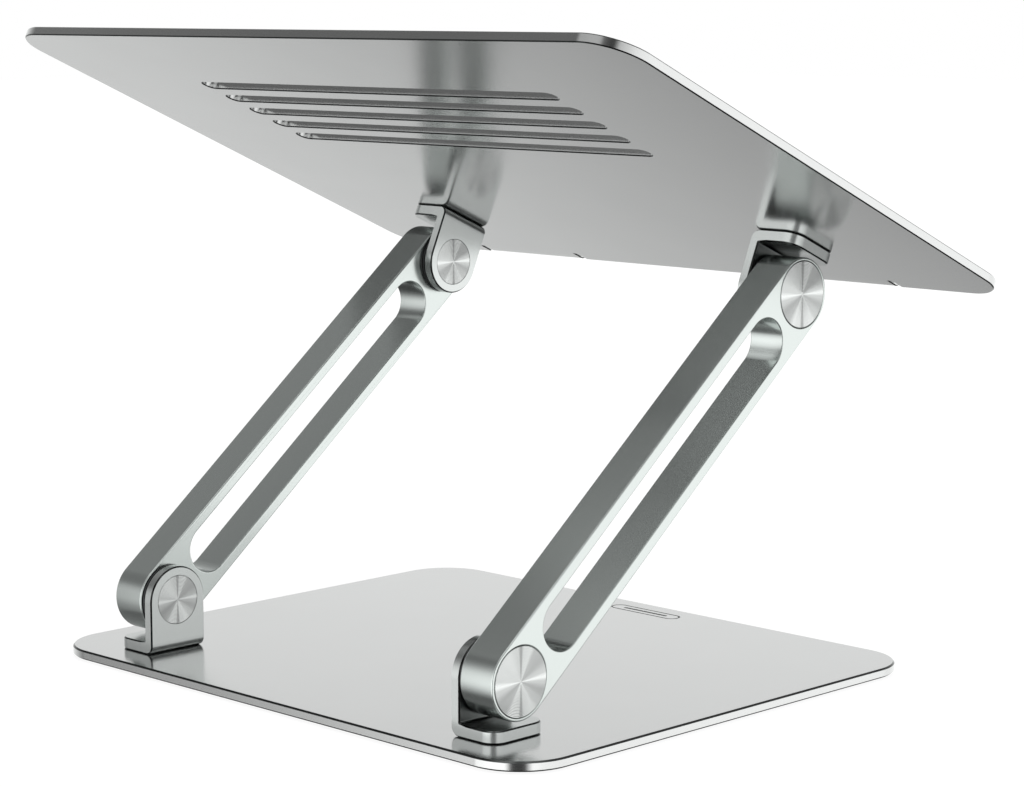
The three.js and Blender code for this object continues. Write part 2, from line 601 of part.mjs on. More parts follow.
const tray = new THREE.Group();
tray.position.copy(UPPER_PIVOT);
tray.rotation.x = -TRAY_TILT;
parts.add(tray);
addPiece(tray, 'tray_plate', trayPlate(), aluminium);
const upperHinge = hinge('upper', TRAY_THICKNESS);
upperHinge.rotation.x = Math.PI;
tray.add(upperHinge);
eachSide((side, sign) => {
  const [padX, padY] = trayPadMiddle(sign);
  const strip = addPiece(tray, `tray_pad_${side}`, padGeometry(TRAY_PAD_LENGTH, TRAY_PAD_WIDTH), silicone);
  strip.position.set(padX, padY, TRAY_TOP - PAD_POCKET_DEPTH + GAP);
  const face = roundedRectangle(HOOK_PAD_LENGTH, HOOK_PAD_HEIGHT, HOOK_CORNER_RADIUS - GAP);
  const hookPad = sheet(face, HOOK_PAD_THICKNESS).applyMatrix4(ALONG_Y);
  const pad = addPiece(tray, `hook_pad_${side}`, hookPad, silicone);
  const padBack = HOOK_OUTER_FACE - TRAY_THICKNESS - GAP;
  pad.position.set(sign * HOOK_MIDDLE, padBack - HOOK_PAD_THICKNESS, HOOK_TOP - HOOK_PAD_HEIGHT / 2 - 2 * GAP);
});

// The origin is on the desk, under the middle of the bounding box: the base's rear edge to the hooks' tops
const bounds = new THREE.Box3().setFromObject(parts, true);
parts.position.y = -(bounds.min.y + bounds.max.y) / 2;

export default stand;
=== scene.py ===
"""A folding aluminium laptop stand on a pale floor.

The pieces are modelled in millimetres in the frame of their plate or hinge, and finish_piece brings each
one to metres and to its place. Left (-X) and right (+X) are as seen from behind, and +Y is the front.
"""
import json
import math

import bmesh
import bpy
from mathutils import Matrix, Vector


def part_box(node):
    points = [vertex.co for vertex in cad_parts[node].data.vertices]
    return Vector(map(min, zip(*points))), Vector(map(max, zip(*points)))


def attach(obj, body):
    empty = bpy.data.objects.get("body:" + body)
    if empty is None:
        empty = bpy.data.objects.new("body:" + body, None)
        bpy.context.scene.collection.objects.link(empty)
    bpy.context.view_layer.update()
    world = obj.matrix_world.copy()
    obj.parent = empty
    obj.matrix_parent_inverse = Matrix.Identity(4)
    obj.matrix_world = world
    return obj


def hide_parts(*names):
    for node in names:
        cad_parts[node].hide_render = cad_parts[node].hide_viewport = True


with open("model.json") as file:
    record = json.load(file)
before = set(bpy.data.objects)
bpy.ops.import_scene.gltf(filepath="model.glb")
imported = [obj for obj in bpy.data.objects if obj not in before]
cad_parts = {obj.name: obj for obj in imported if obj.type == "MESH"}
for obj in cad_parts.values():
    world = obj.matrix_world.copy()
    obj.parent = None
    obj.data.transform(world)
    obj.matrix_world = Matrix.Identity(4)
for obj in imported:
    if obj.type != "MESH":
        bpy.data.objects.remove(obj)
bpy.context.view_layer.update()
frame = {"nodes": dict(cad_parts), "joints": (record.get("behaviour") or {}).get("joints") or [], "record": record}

MM = 0.001

# Plates
BASE_THICKNESS = 3.2
BASE_CORNER = 19.0
TRAY_WIDTH = 280.0
TRAY_DEPTH = 206.0
TRAY_THICKNESS = 3.0
TRAY_CORNER = 15.0
TRAY_FRONT = 40.7  # from the upper hinge axis to the tray's front edge
PIVOT_HEIGHT = 17.45  # from a plate's face to its hinge axis
BASE_RIM = 0.55
TRAY_RIM = 0.35
POCKET_RIM = 0.15

# Arms
ARM_OUTSIDE = 90.0
ARM_INSIDE = 76.4
ARM_RADIUS = 12.0
ARM_RIM = 0.5
SLOT_RADIUS = 8.3
SLOT_FROM_PIVOT = 14.8

# Brackets
EAR_INSIDE = 71.7
EAR_OUTSIDE = 75.4
BRACKET_WIDTH = 22.6
BRACKET_THICKNESS = 3.7
BEND_RADIUS = 3.0
FOOT_CORNER = 5.0
BRACKET_RIM = 0.45
EAR_FILLET = 0.8
FOOT_SEAT = 0.02  # the foot's face stands this far off its plate
FOOT_RISE = 0.3  # its upper face is a bracket's thickness and this much off its plate

# Hinge hardware
SHAFT_RADIUS = 3.0
BRACKET_BORE_RADIUS = 3.15
ARM_BORE_RADIUS = 3.2
OUTER_CAP_RADIUS = 10.8
OUTER_CAP_THICKNESS = 1.6
INNER_CAP_RADIUS = 8.25
INNER_CAP_THICKNESS = 1.0
CAP_GAP = 0.08  # around a cap in its pocket
CAP_SEAT = 0.1  # under an outer cap in its pocket
CAP_RIM = 0.2
INNER_POCKET_DEPTH = 2.45
NUT_POCKET_FLOOR = 4.9  # from the arm's inner face
TURNED_PITCH = 0.22
TURNED_DEPTH = 0.035
TURNED_MIDDLE = 0.5  # the rings stop this far from the axis
FRICTION_WASHER_RADIUS = 11.2
FRICTION_WASHER_GAP = 0.2  # on either face, and around the shaft
NUT_POCKET_RADIUS = 7.6

# Screws
SCREW_RADIUS = 2.0
SCREW_HEAD_RADIUS = 3.7
SCREW_GAP = 0.15  # around a screw in its hole
SCREW_SINK = 0.2
SCREW_SPACING = 13.0
SCREW_LENGTH = 6.1
SCREW_EDGE = (0.25, 0.12)  # the width of the rim around its face, and how far it slopes
SCREW_SOCKET_WIDTH = 2.5
SCREW_SOCKET_DEPTH = 1.1

# Vents, hooks and pads
VENT_COUNT = 5
VENT_LENGTH = 163.4
VENT_WIDTH = 5.6
VENT_PITCH = 11.3
LAST_VENT = 164.3  # from the tray's front edge
HOOK_MIDDLE = 71.6
HOOK_WIDTH = 46.6
HOOK_HEIGHT = 12.0
HOOK_PROUD = 1.5
HOOK_BEND = 2.0
HOOK_CORNER = 4.0
HOOK_RELIEF = 1.6
HOOK_RELIEF_DEPTH = 6.0
HOOK_OVERLAP = 1.0  # how far the hook's strip runs into the tray
PAD_PROUD = 0.9
PAD_POCKET = 0.8
PAD_GAP = 0.15  # around a pad in its pocket
PAD_SEAT = 0.05  # under a pad
PAD_ROUNDING = 0.35
BASE_PAD = (40.0, 9.0)
BASE_PAD_FROM_SIDE = 8.0
BASE_PAD_FROM_END = 12.0
TRAY_PAD = (150.0, 14.0)
TRAY_PAD_FROM_SIDE = 17.0
TRAY_PAD_FROM_REAR = 22.0
HOOK_PAD = (38.0, 8.0)
HOOK_PAD_THICKNESS = 1.75
HOOK_PAD_FROM_TOP = 0.6
MARK_SIZE = (31.0, 6.5)  # a plain engraved outline and dash on the base
MARK_FROM_FRONT = 10.0
MARK_LINE = 0.7
MARK_DEPTH = 0.35
MARK_DASH = 19.0

OVERCUT = 2.0  # how far a cutter runs past the face that it cuts
NEAR = 0.1  # an edge or a corner this close to a place counts as at it
SLIVER = 0.001  # what a rounding leaves of a face that it would otherwise use up
ROUND_STEPS = 96
SMALL_STEPS = 48
POCKET_STEPS = 64
ARM_STEPS = 128
EDGE_SMOOTH = 38  # edges that turn further than this, in degrees, stay crisp
CAP_SMOOTH = 8  # the same for the caps, whose turned rings stay crisp
QUARTER_TURN = Matrix.Rotation(math.pi / 2, 4, "Z")

# ---- Where things are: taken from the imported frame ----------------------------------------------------

joints = {joint["name"]: joint for joint in frame["joints"]}
lower_pivot = Vector(joints["arm_left_fold"]["pos_m"]) / MM
upper_pivot = Vector(joints["tray_tilt"]["pos_m"]) / MM
lower_pivot.x = upper_pivot.x = 0.0
arm_vector = upper_pivot - lower_pivot
arm_length = arm_vector.length
arm_angle = math.atan2(arm_vector.z, arm_vector.y)
laptop_rest = next(m for m in frame["record"]["mounts"] if m["name"] == "laptop_rest")
tray_tilt = math.atan2(laptop_rest["axis"][1], laptop_rest["axis"][2])

base_low, base_high = (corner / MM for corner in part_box("base_plate"))
base_middle = (base_low + base_high) / 2

base_frame = Matrix.Translation((0, base_middle.y, base_low.z))
lower_frame = Matrix.Translation(lower_pivot)
arm_frame = Matrix.Translation(lower_pivot) @ Matrix.Rotation(arm_angle, 4, "X")
arm_top_frame = arm_frame @ Matrix.Translation((0, arm_length, 0))
tray_frame = Matrix.Translation(upper_pivot) @ Matrix.Rotation(-tray_tilt, 4, "X")
upper_frame = tray_frame @ Matrix.Rotation(math.pi, 4, "X")

# ---- Bench tools --------------------------------------------------------------------------------------


def pick(piece):
    """Selects this piece alone and makes it the active one."""
    bpy.ops.object.select_all(action="DESELECT")
    piece.select_set(True)
    bpy.context.view_layer.objects.active = piece


def settle(piece):
    """Moves the object's place, turn and scale into its mesh."""
    pick(piece)
    bpy.ops.object.transform_apply(location=True, rotation=True, scale=True)


def put(piece, matrix):
    piece.matrix_world = matrix @ piece.matrix_world
    settle(piece)
    return piece


def select_in_edit(piece, kind, test):
    """Leaves the piece in edit mode with the vertices, edges or faces that pass the test selected."""
    pick(piece)
    bpy.ops.object.mode_set(mode="EDIT")
    bpy.ops.mesh.select_mode(type=kind)
    bpy.ops.mesh.select_all(action="DESELECT")
    form = bmesh.from_edit_mesh(piece.data)
    items = {"VERT": form.verts, "EDGE": form.edges, "FACE": form.faces}[kind]
    for item in items:
        item.select_set(test(item))
    bmesh.update_edit_mesh(piece.data)


def leave_edit():
    bpy.ops.object.mode_set(mode="OBJECT")


def middle_of(edge):
    return (edge.verts[0].co + edge.verts[1].co) / 2


def faces_up(face):
    return face.normal.z > 0.9


def runs_along(edge, axis):
    """True if the edge lies along that axis: 0, 1 or 2."""
    line = (edge.verts[1].co - edge.verts[0].co).normalized()
    return abs(line[axis]) > 0.999


def bevel_edges(piece, test, width, segments):
    select_in_edit(piece, "EDGE", test)
    bpy.ops.mesh.bevel(offset=width, segments=segments, affect="EDGES", clamp_overlap=True)
    leave_edit()


def block(low, high):
    """A block between two corners."""
    low, high = Vector(low), Vector(high)
    bpy.ops.mesh.primitive_cube_add(size=1, location=(low + high) / 2)
    piece = bpy.context.object
    piece.scale = high - low
    settle(piece)
    return piece


def disc(radius, low, high, steps=ROUND_STEPS):
    """A disc around X, between two heights along X."""
    bpy.ops.mesh.primitive_cylinder_add(
        vertices=steps, radius=radius, depth=high - low, location=((low + high) / 2, 0, 0),
        rotation=(0, math.pi / 2, 0))
    piece = bpy.context.object
    settle(piece)
    return piece


def flat_disc(radius, low, high, steps=ROUND_STEPS):
    """A disc around Z, between two heights."""
    bpy.ops.mesh.primitive_cylinder_add(vertices=steps, radius=radius, depth=high - low,
                                        location=(0, 0, (low + high) / 2))
    piece = bpy.context.object
    settle(piece)
    return piece


def round_bar(start, end, radius, low, high, steps=ROUND_STEPS):
    """A bar along X with round ends about start and end, standing along Z from low to high."""
    half_step = math.pi / steps
    bpy.ops.mesh.primitive_cylinder_add(
        vertices=steps, radius=radius / math.cos(half_step), depth=high - low,
        location=(start, 0, (low + high) / 2), rotation=(0, 0, half_step))
    bar = bpy.context.object
    settle(bar)
    select_in_edit(bar, "VERT", lambda v: v.co.x > start)
    bpy.ops.transform.translate(value=(end - start, 0, 0))
    leave_edit()
    return bar


def rounded_plate(width, depth, corner, low, high):
    """A plate centred on Z with rounded corners, from z = low to z = high."""
    plate = block((-width / 2, -depth / 2, low), (width / 2, depth / 2, high))
    bevel_edges(plate, lambda e: runs_along(e, 2), corner, 32)
    return plate


def combine(piece, other, operation="DIFFERENCE"):
    """Cuts the other body from the piece, or joins it on, and removes the other body."""
    pick(piece)
    bpy.ops.object.modifier_add(type="BOOLEAN")
    step = piece.modifiers[-1]
    step.operation = operation
    step.solver = "EXACT"
    step.object = other
    bpy.ops.object.modifier_apply(modifier=step.name)
    bpy.data.objects.remove(other, do_unlink=True)
    return piece


def give_slots(piece, count):
    """Sees to it that the piece has at least so many material slots."""
    while len(piece.data.materials) < count:
        piece.data.materials.append(None)


def soften_rims(piece, width, segments=3, angle=40):
    """Rounds every edge that turns further than the angle, or chamfers it with one segment.

    The new faces go to the piece's second material slot, which on the plates and brackets holds a near-black
    painted reflection.
    """
    give_slots(piece, 2)
    pick(piece)
    bpy.ops.object.modifier_add(type="BEVEL")
    step = piece.modifiers[-1]
    step.width = width
    step.segments = segments
    step.limit_method = "ANGLE"
    step.angle_limit = math.radians(angle)
    step.miter_outer = "MITER_ARC"
    step.material = 1
    step.use_clamp_overlap = False
    bpy.ops.object.modifier_apply(modifier=step.name)


def copy_of(piece):
    twin = piece.copy()
    twin.data = piece.data.copy()
    bpy.context.collection.objects.link(twin)
    return twin


def mirrored(piece):
    """A mirror image of the piece across the middle plane."""
    twin = copy_of(piece)
    twin.scale = (-1, 1, 1)
    settle(twin)
    select_in_edit(twin, "FACE", lambda f: True)
    bpy.ops.mesh.normals_make_consistent(inside=False)
    leave_edit()
    return twin


def finish_piece(piece, name, body, node, material, place, smooth=EDGE_SMOOTH):
    """Brings the piece to its place in metres, shades it, gives it its finish and hands it to its body."""
    put(piece, Matrix.Scale(MM, 4) @ place)
    pick(piece)
    bpy.ops.object.shade_smooth_by_angle(angle=math.radians(smooth))
    bpy.ops.object.modifier_add(type="WEIGHTED_NORMAL")
    step = piece.modifiers[-1]
    step.keep_sharp = True
    bpy.ops.object.modifier_apply(modifier=step.name)
    piece.name = name
    piece.data.name = name
    finishes = finishes_of.get(material, (material, material))
    give_slots(piece, len(finishes))
    for index, finish in enumerate(finishes):
        piece.data.materials[index] = finish
    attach(piece, body)
    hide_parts(node)
    return piece


def stamp_face_map(cap, radius):
    """Gives a cap a map of its face, centred on its axis, with Y to the right and Z up, on which its painted sheen
    is laid out.
    """
    corners = [vertex.co for vertex in cap.data.vertices]
    low = Vector([min(c[axis] for c in corners) for axis in range(3)])
    high = Vector([max(c[axis] for c in corners) for axis in range(3)])
    middle = (low + high) / 2
    face = cap.data.uv_layers.new(name="face")
    for loop, mark in zip(cap.data.loops, face.data):
        from_middle = (corners[loop.vertex_index] - middle) / (2 * radius * MM)
        mark.uv = (from_middle.y + 0.5, from_middle.z + 0.5)


# ---- Materials ----------------------------------------------------------------------------------------

METAL_GRAIN = 3000.0
METAL_VARIATION = 0.03
METAL_BUMP = (0.02, 0.00005)  # a relief's strength and its depth in metres
RUBBER_GRAIN = 900.0
RUBBER_VARIATION = 0.15
RUBBER_BUMP = (0.25, 0.0001)


def node_group(name, inputs, outputs):
    group = bpy.data.node_groups.new(name, "ShaderNodeTree")
    for label, kind, value in inputs:
        socket = group.interface.new_socket(label, in_out="INPUT", socket_type=kind)
        socket.default_value = value
    for label, kind in outputs:
        group.interface.new_socket(label, in_out="OUTPUT", socket_type=kind)
    return group, group.nodes.new("NodeGroupInput"), group.nodes.new("NodeGroupOutput")


def make_surface_grain():
    """Fine blasted grain with faint cloudy patches: a roughness and a height over the surface."""
    group, given, made = node_group(
        "surface_grain",
        [("Grain Size", "NodeSocketFloat", METAL_GRAIN), ("Roughness", "NodeSocketFloat", 0.15),
         ("Variation", "NodeSocketFloat", METAL_VARIATION)],
        [("Roughness", "NodeSocketFloat"), ("Height", "NodeSocketFloat")])
    nodes, links = group.nodes, group.links
    place = nodes.new("ShaderNodeTexCoord")
    fine = nodes.new("ShaderNodeTexNoise")
    fine.inputs["Detail"].default_value = 3
    cloud = nodes.new("ShaderNodeTexNoise")
    cloud.inputs["Scale"].default_value = 45
    cloud.inputs["Detail"].default_value = 4
    links.new(place.outputs["Object"], fine.inputs["Vector"])
    links.new(place.outputs["Object"], cloud.inputs["Vector"])
    links.new(given.outputs["Grain Size"], fine.inputs["Scale"])
    centred = nodes.new("ShaderNodeMath")
    centred.operation = "SUBTRACT"
    centred.inputs[1].default_value = 0.5
    links.new(cloud.outputs["Fac"], centred.inputs[0])
    spread = nodes.new("ShaderNodeMath")
    spread.operation = "MULTIPLY_ADD"
    links.new(centred.outputs[0], spread.inputs[0])
    links.new(given.outputs["Variation"], spread.inputs[1])
    links.new(given.outputs["Roughness"], spread.inputs[2])
    links.new(spread.outputs[0], made.inputs["Roughness"])
    links.new(fine.outputs["Fac"], made.inputs["Height"])
    return group


def new_material(name):
    material = bpy.data.materials.new(name)
    material.use_nodes = True
    return material, material.node_tree.nodes, material.node_tree.links


def grained(name, dark, light, roughness, grain_size, variation, bump, bump_depth):
    """A finish whose colour, sheen and relief follow a fine grain."""
    material, nodes, links = new_material(name)
    shader = nodes["Principled BSDF"]
    grain = nodes.new("ShaderNodeGroup")
    grain.node_tree = surface_grain
    grain.inputs["Grain Size"].default_value = grain_size
    grain.inputs["Roughness"].default_value = roughness
    grain.inputs["Variation"].default_value = variation
    tone = nodes.new("ShaderNodeMixRGB")
    tone.inputs["Color1"].default_value = (*dark, 1)
    tone.inputs["Color2"].default_value = (*light, 1)
    links.new(grain.outputs["Height"], tone.inputs["Fac"])
    links.new(tone.outputs["Color"], shader.inputs["Base Color"])
    relief = nodes.new("ShaderNodeBump")
    relief.inputs["Strength"].default_value = bump
    relief.inputs["Distance"].default_value = bump_depth
    links.new(grain.outputs["Roughness"], shader.inputs["Roughness"])
    links.new(grain.outputs["Height"], relief.inputs["Height"])
    links.new(relief.outputs["Normal"], shader.inputs["Normal"])
    return material


def metal(name, colour, roughness, variation=METAL_VARIATION):
    """Aluminium or steel, blasted and faintly uneven."""
    dark = [0.97 * c for c in colour]
    material = grained(name, dark, colour, roughness, METAL_GRAIN, variation, *METAL_BUMP)
    material.node_tree.nodes["Principled BSDF"].inputs["Metallic"].default_value = 1.0
    return material


def rubber(name, colour, roughness):
    """Matt silicone or bearing plastic with a soft mottled bloom."""
    dark = [0.8 * c for c in colour]
    light = [1.15 * c for c in colour]
    return grained(name, dark, light, roughness, RUBBER_GRAIN, RUBBER_VARIATION, *RUBBER_BUMP)


# The turned caps' painted sheen, a painted reflection of bright and dark wedges in their colour: how bright it is
# at each turn, in degrees from +Y towards +Z
PAINTED_SHEEN_WEDGES = ((-180, 0.74), (-170, 0.5), (-150, 0.36), (-132, 0.42), (-116, 0.66), (-98, 0.62),
                 (-90, 0.34), (-82, 0.62), (-62, 0.66), (-46, 0.5), (-24, 0.38), (-8, 0.5), (0, 0.74),
                 (10, 0.5), (32, 0.38), (54, 0.42), (66, 0.6), (82, 0.58), (90, 0.32), (98, 0.54),
                 (122, 0.6), (150, 0.56), (170, 0.54), (180, 0.74))


def turned_metal_painted_sheen(name, roughness):
    """A face turned in fine rings, with a painted sheen: bright and dark wedges of painted reflection run out from
    the middle in its colour.
    """
    material, nodes, links = new_material(name)
    shader = nodes["Principled BSDF"]
    shader.inputs["Metallic"].default_value = 1.0
    grain = nodes.new("ShaderNodeGroup")
    grain.node_tree = surface_grain
    grain.inputs["Roughness"].default_value = roughness
    links.new(grain.outputs["Roughness"], shader.inputs["Roughness"])
    face = nodes.new("ShaderNodeUVMap")
    face.uv_map = "face"
    split = nodes.new("ShaderNodeSeparateXYZ")
    links.new(face.outputs["UV"], split.inputs[0])
    centred = []
    for label in "XY":
        part = nodes.new("ShaderNodeMath")
        part.operation = "SUBTRACT"
        part.inputs[1].default_value = 0.5
        links.new(split.outputs[label], part.inputs[0])
        centred.append(part.outputs[0])
    around = nodes.new("ShaderNodeMath")
    around.operation = "ARCTAN2"
    links.new(centred[1], around.inputs[0])
    links.new(centred[0], around.inputs[1])
    reach = nodes.new("ShaderNodeMapRange")
    reach.inputs["From Min"].default_value = -math.pi
    reach.inputs["From Max"].default_value = math.pi
    links.new(around.outputs[0], reach.inputs["Value"])
    painted_wedges = nodes.new("ShaderNodeValToRGB")
    painted_wedges.color_ramp.interpolation = "EASE"
    links.new(reach.outputs["Result"], painted_wedges.inputs["Fac"])
    marks = painted_wedges.color_ramp.elements
    for _ in PAINTED_SHEEN_WEDGES[2:]:
        marks.new(0.5)
    for mark, (turn, tone) in zip(marks, PAINTED_SHEEN_WEDGES):
        mark.position = (turn + 180) / 360
        mark.color = (tone, 1.02 * tone, 1.01 * tone, 1)
    # The wedges go into the base colour: a painted sheen that stays fixed to the cap, whatever the light
    links.new(painted_wedges.outputs["Color"], shader.inputs["Base Color"])
    return material


surface_grain = make_surface_grain()
plate_metal = metal("plate_aluminium", (0.615, 0.618, 0.616), 0.17)
arm_metal = metal("arm_aluminium", (0.60, 0.635, 0.62), 0.23)
bracket_metal = metal("bracket_aluminium", (0.605, 0.625, 0.617), 0.25)
cap_metal = turned_metal_painted_sheen("turned_aluminium", 0.24)
# Painted dark reflection: the near-black colour on the chamfers stands for the dark surroundings that the polished
# edges mirror
dark_edge_reflection = metal("painted_edge_reflection", (0.075, 0.079, 0.078), 0.16)
# Painted shade: this dark colour stands for the shade on a bracket's face under an arm's knuckle
painted_shade_face = metal("painted_shade_aluminium", (0.15, 0.156, 0.154), 0.3)
# Each metal's faces, its chamfers in a near-black painted reflection, and the face that turns towards an arm in
# painted shade
finishes_of = {plate_metal: (plate_metal, dark_edge_reflection), bracket_metal: (bracket_metal, dark_edge_reflection, painted_shade_face)}
plated_steel = metal("plated_steel", (0.55, 0.555, 0.565), 0.3, variation=0.1)
spring_steel = metal("spring_steel", (0.35, 0.36, 0.37), 0.38, variation=0.1)
grey_silicone = rubber("grey_silicone", (0.035, 0.037, 0.04), 0.62)
washer_plastic = rubber("washer_plastic", (0.02, 0.021, 0.022), 0.5)

# ---- Camera, floor and light --------------------------------------------------------------------------

CAMERA_PLACE = (0.64696, -0.63713, 0.21976)  # in metres, from the floor under the base's middle
CAMERA_DIP = 8.047
CAMERA_TURN = 44.725
CAMERA_LENS = 97.053
CAMERA_SENSOR = 36
FLOOR_SIZE = 12
FLOOR_COLOUR = (0.2, 0.2, 0.2, 1)
FLOOR_GLOW = 0.9
KEY_TRAVEL = (-0.75, 0.2, -0.63)
KEY_ENERGY = 0.7
KEY_SPREAD = 40


def make_camera():
    across, along, height = CAMERA_PLACE
    bpy.ops.object.camera_add(location=(across, base_middle.y * MM + along, height),
                              rotation=(math.radians(90 - CAMERA_DIP), 0, math.radians(CAMERA_TURN)))
    camera = bpy.context.object
    camera.data.lens = CAMERA_LENS
    camera.data.sensor_width = CAMERA_SENSOR
    bpy.context.scene.camera = camera


def make_floor():
    """A floor that is white to look at, with a faint contact shadow, and is left out of reflections."""
    bpy.ops.mesh.primitive_plane_add(size=FLOOR_SIZE, location=(0, 0, 0))
    floor = bpy.context.object
    floor.name = "floor"
    material, nodes, links = new_material("pale_floor")
    shader = nodes["Principled BSDF"]
    shader.inputs["Base Color"].default_value = FLOOR_COLOUR
    shader.inputs["Roughness"].default_value = 0.9
    shader.inputs["Specular IOR Level"].default_value = 0.0
    shader.inputs["Emission Color"].default_value = (1, 1, 1, 1)
    shader.inputs["Emission Strength"].default_value = FLOOR_GLOW
    floor.data.materials.append(material)
    floor.visible_glossy = False


# The studio as the polished faces see it: brightness by height, from straight down (-1) to straight up (1)
HEIGHT_TONES = ((-1.0, 0.3), (-0.8, 0.06), (-0.66, 0.08), (-0.56, 0.36), (-0.5, 0.64), (-0.44, 0.9),
                (-0.3, 1.1), (-0.14, 1.2), (0.1, 1.08), (0.25, 0.95), (0.42, 0.6), (0.6, 0.38),
                (0.84, 0.4), (0.94, 1.1), (1.0, 1.2))
# and a share of it by direction, in degrees from +X towards +Y: dark behind the camera, white beside it
AROUND_TONES = ((-180, 0.78), (-166, 0.58), (-148, 0.27), (-141, 0.38), (-137, 0.76), (-132, 1.4),
                (-110, 1.5), (-98, 1.6), (-72, 1.6), (-62, 0.06), (-36, 0.06), (-24, 1.5), (-4, 1.3),
                (40, 1.22), (52, 1.25), (66, 1.1), (90, 1.1), (135, 1.0), (160, 0.92), (180, 0.78))
# The share is never less than this, by height: it evens out just over the horizon and near the ceiling
LEAST_SHARES = ((-1.0, 0.0), (0.0, 0.0), (0.06, 0.5), (0.3, 0.5), (0.36, 0.0), (0.56, 0.0),
                (0.66, 0.68), (1.0, 0.68))


def tone_ramp(nodes, links, value, tones, low, high):
    """A strength that follows a list of (place, level) along a value."""
    reach = nodes.new("ShaderNodeMapRange")
    reach.inputs["From Min"].default_value = low
    reach.inputs["From Max"].default_value = high
    links.new(value, reach.inputs["Value"])
    ramp = nodes.new("ShaderNodeValToRGB")
    links.new(reach.outputs["Result"], ramp.inputs["Fac"])
    marks = ramp.color_ramp.elements
    for _ in tones[2:]:
        marks.new(0.5)
    brightest = max(level for _, level in tones)
    for mark, (place, level) in zip(marks, tones):
        mark.position = (place - low) / (high - low)
        mark.color = (*[level / brightest] * 3, 1)
    scaled = nodes.new("ShaderNodeMath")
    scaled.operation = "MULTIPLY"
    scaled.inputs[1].default_value = brightest
    links.new(ramp.outputs["Color"], scaled.inputs[0])
    return scaled.outputs[0]


def make_world():
    """Walls that are bright at the horizon and dark above and below it, for the polished faces to mirror.

    To the camera itself the room is plain white.
    """
    world = bpy.data.worlds.new("studio")
    bpy.context.scene.world = world
    world.use_nodes = True
    nodes, links = world.node_tree.nodes, world.node_tree.links
    walls = nodes["Background"]
    place = nodes.new("ShaderNodeTexCoord")
    split = nodes.new("ShaderNodeSeparateXYZ")
    links.new(place.outputs["Generated"], split.inputs[0])
    around = nodes.new("ShaderNodeMath")
    around.operation = "ARCTAN2"
    links.new(split.outputs["Y"], around.inputs[0])
    links.new(split.outputs["X"], around.inputs[1])
    turn = nodes.new("ShaderNodeMath")
    turn.operation = "DEGREES"
    links.new(around.outputs[0], turn.inputs[0])
    by_height = tone_ramp(nodes, links, split.outputs["Z"], HEIGHT_TONES, -1, 1)
    by_turn = tone_ramp(nodes, links, turn.outputs[0], AROUND_TONES, -180, 180)
    least = tone_ramp(nodes, links, split.outputs["Z"], LEAST_SHARES, -1, 1)
    share = nodes.new("ShaderNodeMath")
    share.operation = "MAXIMUM"
    links.new(by_turn, share.inputs[0])
    links.new(least, share.inputs[1])
    strength = nodes.new("ShaderNodeMath")
    strength.operation = "MULTIPLY"
    links.new(by_height, strength.inputs[0])
    links.new(share.outputs[0], strength.inputs[1])
    links.new(strength.outputs[0], walls.inputs["Strength"])
    walls.inputs["Color"].default_value = (0.99, 1.0, 0.995, 1)
    seen = nodes.new("ShaderNodeBackground")
    seen.inputs["Color"].default_value = (1, 1, 1, 1)
    path = nodes.new("ShaderNodeLightPath")
    mix = nodes.new("ShaderNodeMixShader")
    links.new(path.outputs["Is Camera Ray"], mix.inputs["Fac"])
    links.new(walls.outputs[0], mix.inputs[1])
    links.new(seen.outputs[0], mix.inputs[2])
    links.new(mix.outputs[0], nodes["World Output"].inputs["Surface"])


def make_key_light():
    """A broad, soft light from high on the right, which polished faces don't mirror."""
    bpy.ops.object.light_add(type="SUN")
    key = bpy.context.object
    key.name = "key_light"
    key.rotation_euler = Vector(KEY_TRAVEL).to_track_quat("-Z", "Y").to_euler()
    key.data.energy = KEY_ENERGY
    key.data.angle = math.radians(KEY_SPREAD)
    key.visible_glossy = False


make_camera()
make_floor()
make_world()
make_key_light()
bpy.context.scene.view_settings.view_transform = "Standard"

# ---- Screw holes and pads, in both plates -------------------------------------------------------------

SIDES = (("left", -1), ("right", 1))
SCREW_PLACES = (("front", SCREW_SPACING / 2), ("rear", -SCREW_SPACING / 2))
screw_x = (EAR_OUTSIDE + ARM_OUTSIDE) / 2


def screw_cutter(x, y, plate_thickness):
    """A countersunk hole through a plate, opening at z = 0."""
    cutter = flat_disc(SCREW_RADIUS + SCREW_GAP, -OVERCUT, plate_thickness + OVERCUT, SMALL_STEPS)
    reach = SCREW_HEAD_RADIUS + SCREW_GAP + OVERCUT
    bpy.ops.mesh.primitive_cone_add(vertices=SMALL_STEPS, radius1=reach, radius2=0, depth=reach,
                                    location=(0, 0, reach / 2 - OVERCUT + SCREW_SINK))
    cone = bpy.context.object
    settle(cone)
    combine(cutter, cone, "UNION")
    return put(cutter, Matrix.Translation((x, y, 0)))


def pad_bar(size, low, high, grow=0.0):
    """A pad's outline along X: a bar with round ends."""
    length, width = size
    end = (length - width) / 2
    return round_bar(-end, end, width / 2 + grow, low, high, SMALL_STEPS)


def make_pad(size, thickness):
    pad = pad_bar(size, 0, thickness)
    soften_rims(pad, PAD_ROUNDING)
    return pad


# ---- Base ---------------------------------------------------------------------------------------------

base_width = base_high.x - base_low.x
base_depth = base_high.y - base_low.y
lower_pivot_y = lower_pivot.y - base_middle.y
base_pad_places = [
    (f"{end}_{side}", sign * (base_width / 2 - BASE_PAD_FROM_SIDE - BASE_PAD[1] / 2),
     along * (base_depth / 2 - BASE_PAD_FROM_END - BASE_PAD[0] / 2))
    for end, along in (("front", 1), ("rear", -1)) for side, sign in SIDES]


